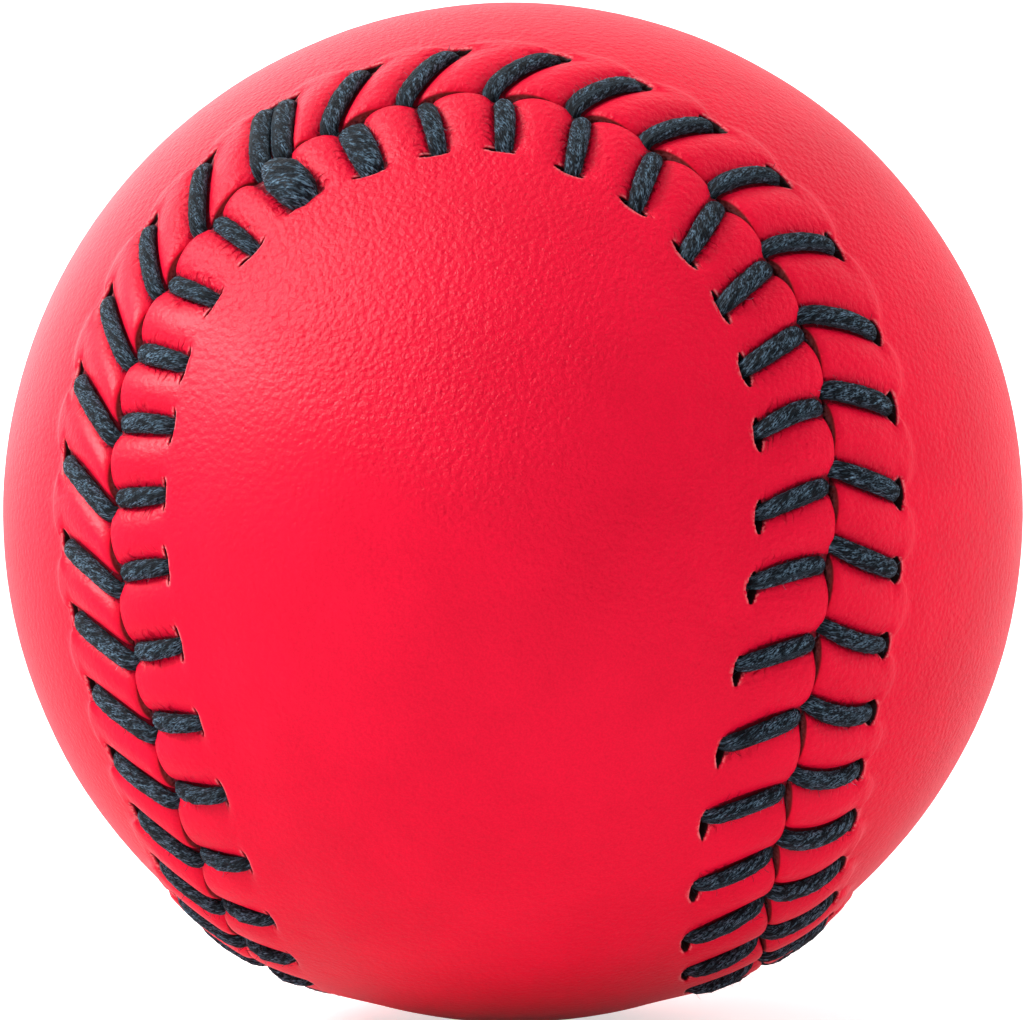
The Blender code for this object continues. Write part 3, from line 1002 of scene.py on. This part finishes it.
def smooth_line(points, steps):
    """A smooth line through the points, with the same number of steps between each two."""
    ends = np.concatenate([2 * points[:1] - points[1:2], points, 2 * points[-1:] - points[-2:-1]])
    before, here, there, after = ends[:-3], ends[1:-2], ends[2:-1], ends[3:]
    share = np.linspace(0, 1, steps, endpoint=False)[:, None, None]
    line = 0.5 * (
        2 * here
        + (there - before) * share
        + (2 * before - 5 * here + 4 * there - after) * share**2
        + (3 * here - before - 3 * there + after) * share**3
    )
    return np.concatenate([line.transpose(1, 0, 2).reshape(-1, points.shape[1]), points[-1:]])


def thread_line(legs):
    """One thread's middle line, its breadth's direction, half sizes and which part of it shows."""
    stops = []
    for order, leg in enumerate(legs):
        line = leg_points(leg)
        middle, last_high, first_high = line[5], line[-4], line[3]
        breadth = np.cross(middle, last_high - first_high)
        breadth /= length_of(breadth)
        hole_taper, seam_taper = leg["taper"]
        taper = np.array([*hole_taper, *seam_taper[: len(line) - len(hole_taper)]])
        shows = np.ones(len(line))
        shows[[0, 1, -1, -2]] = 0.0
        size = np.column_stack([leg["wide"] * taper, np.full(len(line), leg["deep"]), shows])
        stops.append(np.column_stack([line, np.tile(breadth, (len(line), 1)), size]))
        if order + 1 < len(legs):
            next_hole = leg_points(legs[order + 1])[0]
            run = line[-1] * (1 - RUN_SHARES) + next_hole * RUN_SHARES
            run *= RUN_RADIUS / length_of(run)[:, None]
            breadth = np.cross(run[0], run[1] - run[0])
            breadth /= length_of(breadth)
            hidden = np.tile([*breadth, RUN_HALF_WIDTH, RUN_HALF_DEPTH, 0.0], (len(run), 1))
            stops.append(np.column_stack([run, hidden]))
    return smooth_line(np.concatenate(stops), LINE_STEPS)


thread_tree, size, end = new_tree(
    "felted_thread",
    "GeometryNodeTree",
    {
        "Geometry": SHAPE,
        "Felt size": NUMBER,
        "Felt depth": NUMBER,
        "Hairs": NUMBER,
        "Hair length": NUMBER,
        "Hair radius": NUMBER,
        "Seed": COUNT,
        "Finish": FINISH,
    },
    {"Geometry": SHAPE},
)
line = add_node(thread_tree, "GeometryNodeMeshToCurve", {"Mesh": size["Geometry"]})
spot = add_node(thread_tree, "GeometryNodeInputPosition")
centred = store(thread_tree, line, "centre", spot, "FLOAT_VECTOR")
tube = sweep(thread_tree, centred, MILLIMETRE, THREAD_SIDES, True)
centre = named(thread_tree, "centre", "FLOAT_VECTOR")
breadth = named(thread_tree, "breadth", "FLOAT_VECTOR").arrow("NORMALIZE")
deep = named(thread_tree, "deep")
arm = spot.arrow("SUBTRACT", centre).stretch(1 / MILLIMETRE)
sideways = arm.arrow("DOT_PRODUCT", breadth, output="Value")
felt = add_noise(thread_tree, spot, 1 / size["Felt size"])
swollen = arm.stretch(deep + (felt - 0.5) * size["Felt depth"])
flat = breadth.stretch(sideways * (named(thread_tree, "wide") - deep))
flattened = add_node(
    thread_tree,
    "GeometryNodeSetPosition",
    {"Geometry": tube, "Position": centre.arrow("ADD", swollen).arrow("ADD", flat)},
)
dots = add_node(
    thread_tree,
    "GeometryNodeDistributePointsOnFaces",
    {"Mesh": flattened, "Density": named(thread_tree, "shows") * size["Hairs"], "Seed": size["Seed"]},
    "Points",
)
scatter = add_node(
    thread_tree,
    "FunctionNodeRandomValue",
    {0: (-1.0, -1.0, -1.0), 1: (1.0, 1.0, 1.0), "Seed": size["Seed"]},
    data_type="FLOAT_VECTOR",
)
lean = dots.beside("Normal").stretch(0.45).arrow("ADD", scatter)
turned = add_node(thread_tree, "FunctionNodeAlignRotationToVector", {"Vector": lean}, axis="Z")
bow = add_node(
    thread_tree,
    "GeometryNodeCurveQuadraticBezier",
    {"Resolution": 4, "Start": (0.0, 0.0, -0.2), "Middle": (0.35, 0.0, 0.4), "End": (0.0, 0.1, 1.0)},
)
thin = size["Hair radius"] / size["Hair length"]
hair_round = add_node(thread_tree, "GeometryNodeCurvePrimitiveCircle", {"Resolution": 3, "Radius": thin})
hair = add_node(
    thread_tree,
    "GeometryNodeCurveToMesh",
    {"Curve": bow, "Profile Curve": hair_round, "Fill Caps": True},
)
length = add_node(
    thread_tree, "FunctionNodeRandomValue", {2: 0.4, 3: 1.2, "Seed": size["Seed"]}, 1, data_type="FLOAT"
)
hairs = add_node(
    thread_tree,
    "GeometryNodeInstanceOnPoints",
    {"Points": dots, "Instance": hair, "Rotation": turned, "Scale": length * size["Hair length"]},
)
close_tree(thread_tree, end, [flattened, hairs], size["Finish"])


def thread_finish(name):
    """Waxed thread: dark twisted fibres, with pale streaks where they stand up that are partly their own
    tone and partly a painted highlight.
    """
    material, tree, shader, _ = new_finish(name)
    fibre, strand = add_fibres(tree, THREAD_TWIST, THREAD_FIBRE_LENGTH, THREAD_FIBRES_ROUND)
    # Pale streaks on the dark thread: partly the fibres' own tone and partly a painted highlight.
    pale_fibres_and_highlight = fibre * (strand * 0.95 + 0.02)
    feed(shader.inputs["Base Color"], blend_colours(tree, pale_fibres_and_highlight, THREAD_DARK, THREAD_PALE_AND_HIGHLIGHT))
    add_relief(tree, shader, fibre, THREAD_BUMP)
    shader.inputs["Roughness"].default_value = 0.6
    shader.inputs["Specular IOR Level"].default_value = 0.08
    shader.inputs["Sheen Weight"].default_value = 0.02
    return material


def sew(name, node, slot, lines, seed):
    """Grows a thread along its lines."""
    line = np.concatenate(lines)
    ends = np.cumsum([len(part) for part in lines])
    edges = [(index, index + 1) for index in range(len(line)) if index + 1 not in ends]
    values = {"breadth": line[:, 3:6], "wide": line[:, 6], "deep": line[:, 7], "shows": line[:, 8]}
    thread = grow(
        name,
        mesh_with_values(name + "_base", line[:, :3], edges, [], values),
        thread_tree,
        {
            "Felt size": FELT_SIZE,
            "Felt depth": FELT_DEPTH,
            "Hairs": HAIRS_PER_SQUARE_METRE,
            "Hair length": HAIR_LENGTH,
            "Hair radius": HAIR_RADIUS,
            "Seed": seed,
            "Finish": thread_finish(slot),
        },
    )
    hand_over(thread, node)


first_legs = [leg_of(REAR if stitch % 2 == 0 else FRONT, stitch) for stitch in range(STITCHES, 0, -1)]
second_legs = [leg_of(FRONT if stitch % 2 == 0 else REAR, stitch) for stitch in range(STITCHES - 1, 0, -1)]
first_legs[0].update(start=-0.0008, lead=0.00129, reach=0.0059, wide=DOUBLED_HALF_WIDTH)
sew("first_waxed_cord", "first_thread", "first_waxed_thread", [thread_line(first_legs)], seed=3)
sew("second_waxed_cord", "second_thread", "second_waxed_thread", [thread_line(second_legs)], seed=5)


# Finishing knot: the last leg beside the first one, and the fat lump where the threads' ends are drawn
# together, tied off and cut close. It is the same waxed thread, doubled and beaten flat.
LUMP_HALF_WIDTH = 0.00122
LUMP_HALF_DEPTH = 0.00075
LUMP_TAPER = ((0.5, 0.65, 0.9, 1.02, 1.06, 1.04), (0.96, 0.82, 0.65, 0.5, 0.4, 0.4))

last_leg = leg_of(REAR, 0)
last_leg.update(start=0.00075, lead=0.00255, reach=0.0055, wide=DOUBLED_HALF_WIDTH)
lump = leg_of(FRONT, 0)
lump.update(wide=LUMP_HALF_WIDTH, deep=LUMP_HALF_DEPTH, taper=LUMP_TAPER)
knot_lines = [thread_line([last_leg]), thread_line([lump])]
sew("tied_knot", "finishing_knot", "knot_waxed_thread", knot_lines, seed=7)


# Studio: a plain pale sheet of paper under the ball, white light from all round, soft lamps, and the camera
# at the photograph's viewing angle. The ball only lies on the paper.
FLOOR_SIZE = 4.0
FLOOR_TONE = (0.85, 0.85, 0.85, 1.0)
WHITE = (1.0, 1.0, 1.0, 1.0)
FLOOR_LIFT_SEEN = 0.6
FLOOR_LIFT_MIRRORED = 0.1
ROOM_LIGHT = 0.79
ROOM_DIMMER_IN_FRONT = 0.26
ROOM_MIRRORED = 1.3
ROOM_DARKER_MIRRORED = 1.22
CEILING = (0.0, 0.5, 0.85)
CEILING_MIRRORED = 0.7
VIEW_TURN = Vector((0.1031, -0.1089, 0.0115))
VIEW_DISTANCE = 1.815
LENS = 1075.6
SENSOR = 36.0
FARTHEST_SEEN = 20.0
PHOTO_WIDTH_PIXELS = 1024
SHIFT_RIGHT_PIXELS = -0.9
SHIFT_UP_PIXELS = 2.5


def light_path(tree):
    """Where the camera itself looks, and where gloss or something clear shows a place."""
    seen = add_node(tree, "ShaderNodeLightPath", output="Is Camera Ray")
    return seen, seen.beside("Is Glossy Ray").math("MAXIMUM", seen.beside("Is Transmission Ray"))


corner = FLOOR_SIZE / 2
floor_mesh = bpy.data.meshes.new("floor")
floor_corners = [
    (-corner, -corner, -BALL_RADIUS),
    (corner, -corner, -BALL_RADIUS),
    (corner, corner, -BALL_RADIUS),
    (-corner, corner, -BALL_RADIUS),
]
floor_mesh.from_pydata(floor_corners, [], [(0, 1, 2, 3)])
floor = bpy.data.objects.new("floor", floor_mesh)
bpy.context.scene.collection.objects.link(floor)
paper, tree, shader, _ = new_finish("floor_paper")
seen, mirrored = light_path(tree)
shader.inputs["Base Color"].default_value = FLOOR_TONE
shader.inputs["Roughness"].default_value = 0.9
shader.inputs["Specular IOR Level"].default_value = 0.1
shader.inputs["Emission Color"].default_value = WHITE
feed(shader.inputs["Emission Strength"], seen * FLOOR_LIFT_SEEN + mirrored * FLOOR_LIFT_MIRRORED)
floor_mesh.materials.append(paper)

world = bpy.data.worlds.new("studio")
world.use_nodes = True
bpy.context.scene.world = world
tree = world.node_tree
seen, mirrored = light_path(tree)
towards = add_node(tree, "ShaderNodeTexCoord", output="Generated")
sideways = add_node(tree, "ShaderNodeSeparateXYZ", {0: towards}, "X")
behind = sideways.beside("Y")
ceiling = towards.arrow("DOT_PRODUCT", CEILING, output="Value").slope(0.6, 1.0)
lighting = ROOM_LIGHT - behind.slope(0.2, -0.8) * ROOM_DIMMER_IN_FRONT
darker = (behind - sideways * 0.8).slope(0.35, -0.35)
shown = ROOM_MIRRORED - darker * ROOM_DARKER_MIRRORED + ceiling * CEILING_MIRRORED
background = tree.nodes["Background"]
background.inputs["Color"].default_value = WHITE
feed(background.inputs["Strength"], (lighting + (shown - lighting) * mirrored) * (1.0 - seen) + seen)


def add_lamp(name, place, size, power, lights=True, mirrored=True):
    """A large soft lamp that faces the ball. It lights the surfaces, shows in their gloss, or both."""
    light = bpy.data.lights.new(name, "AREA")
    light.shape = "DISK"
    light.size = size
    light.energy = power
    lamp = bpy.data.objects.new(name, light)
    lamp.location = place
    lamp.rotation_euler = Vector(place).to_track_quat("Z", "Y").to_euler()
    lamp.visible_camera = False
    lamp.visible_diffuse = lights
    lamp.visible_glossy = mirrored
    bpy.context.scene.collection.objects.link(lamp)


add_lamp("key_lamp", (-0.97, -0.27, 0.74), size=0.45, power=12.0)
add_lamp("gloss_lamp", (-0.88, -0.22, 0.86), size=0.6, power=40.0, lights=False)
add_lamp("right_lamp", (1.0, 0.5, 0.5), size=0.8, power=5.6, mirrored=False)
add_lamp("back_lamp", (-0.75, 1.0, 0.4), size=1.2, power=6.0)

lens = bpy.data.cameras.new("photo_camera")
lens.sensor_fit = "HORIZONTAL"
lens.sensor_width = SENSOR
lens.lens = LENS
lens.shift_x = SHIFT_RIGHT_PIXELS / PHOTO_WIDTH_PIXELS
lens.shift_y = SHIFT_UP_PIXELS / PHOTO_WIDTH_PIXELS
lens.clip_end = FARTHEST_SEEN
camera = bpy.data.objects.new("photo_camera", lens)
facing = Matrix(((1, 0, 0), (0, 0, 1), (0, -1, 0)))
axes = (Matrix.Rotation(VIEW_TURN.length, 3, VIEW_TURN) @ facing).transposed()
camera.matrix_world = Matrix.Translation(axes.col[2] * VIEW_DISTANCE) @ axes.to_4x4()
bpy.context.scene.collection.objects.link(camera)
bpy.context.scene.camera = camera
bpy.context.scene.view_settings.view_transform = "Standard"
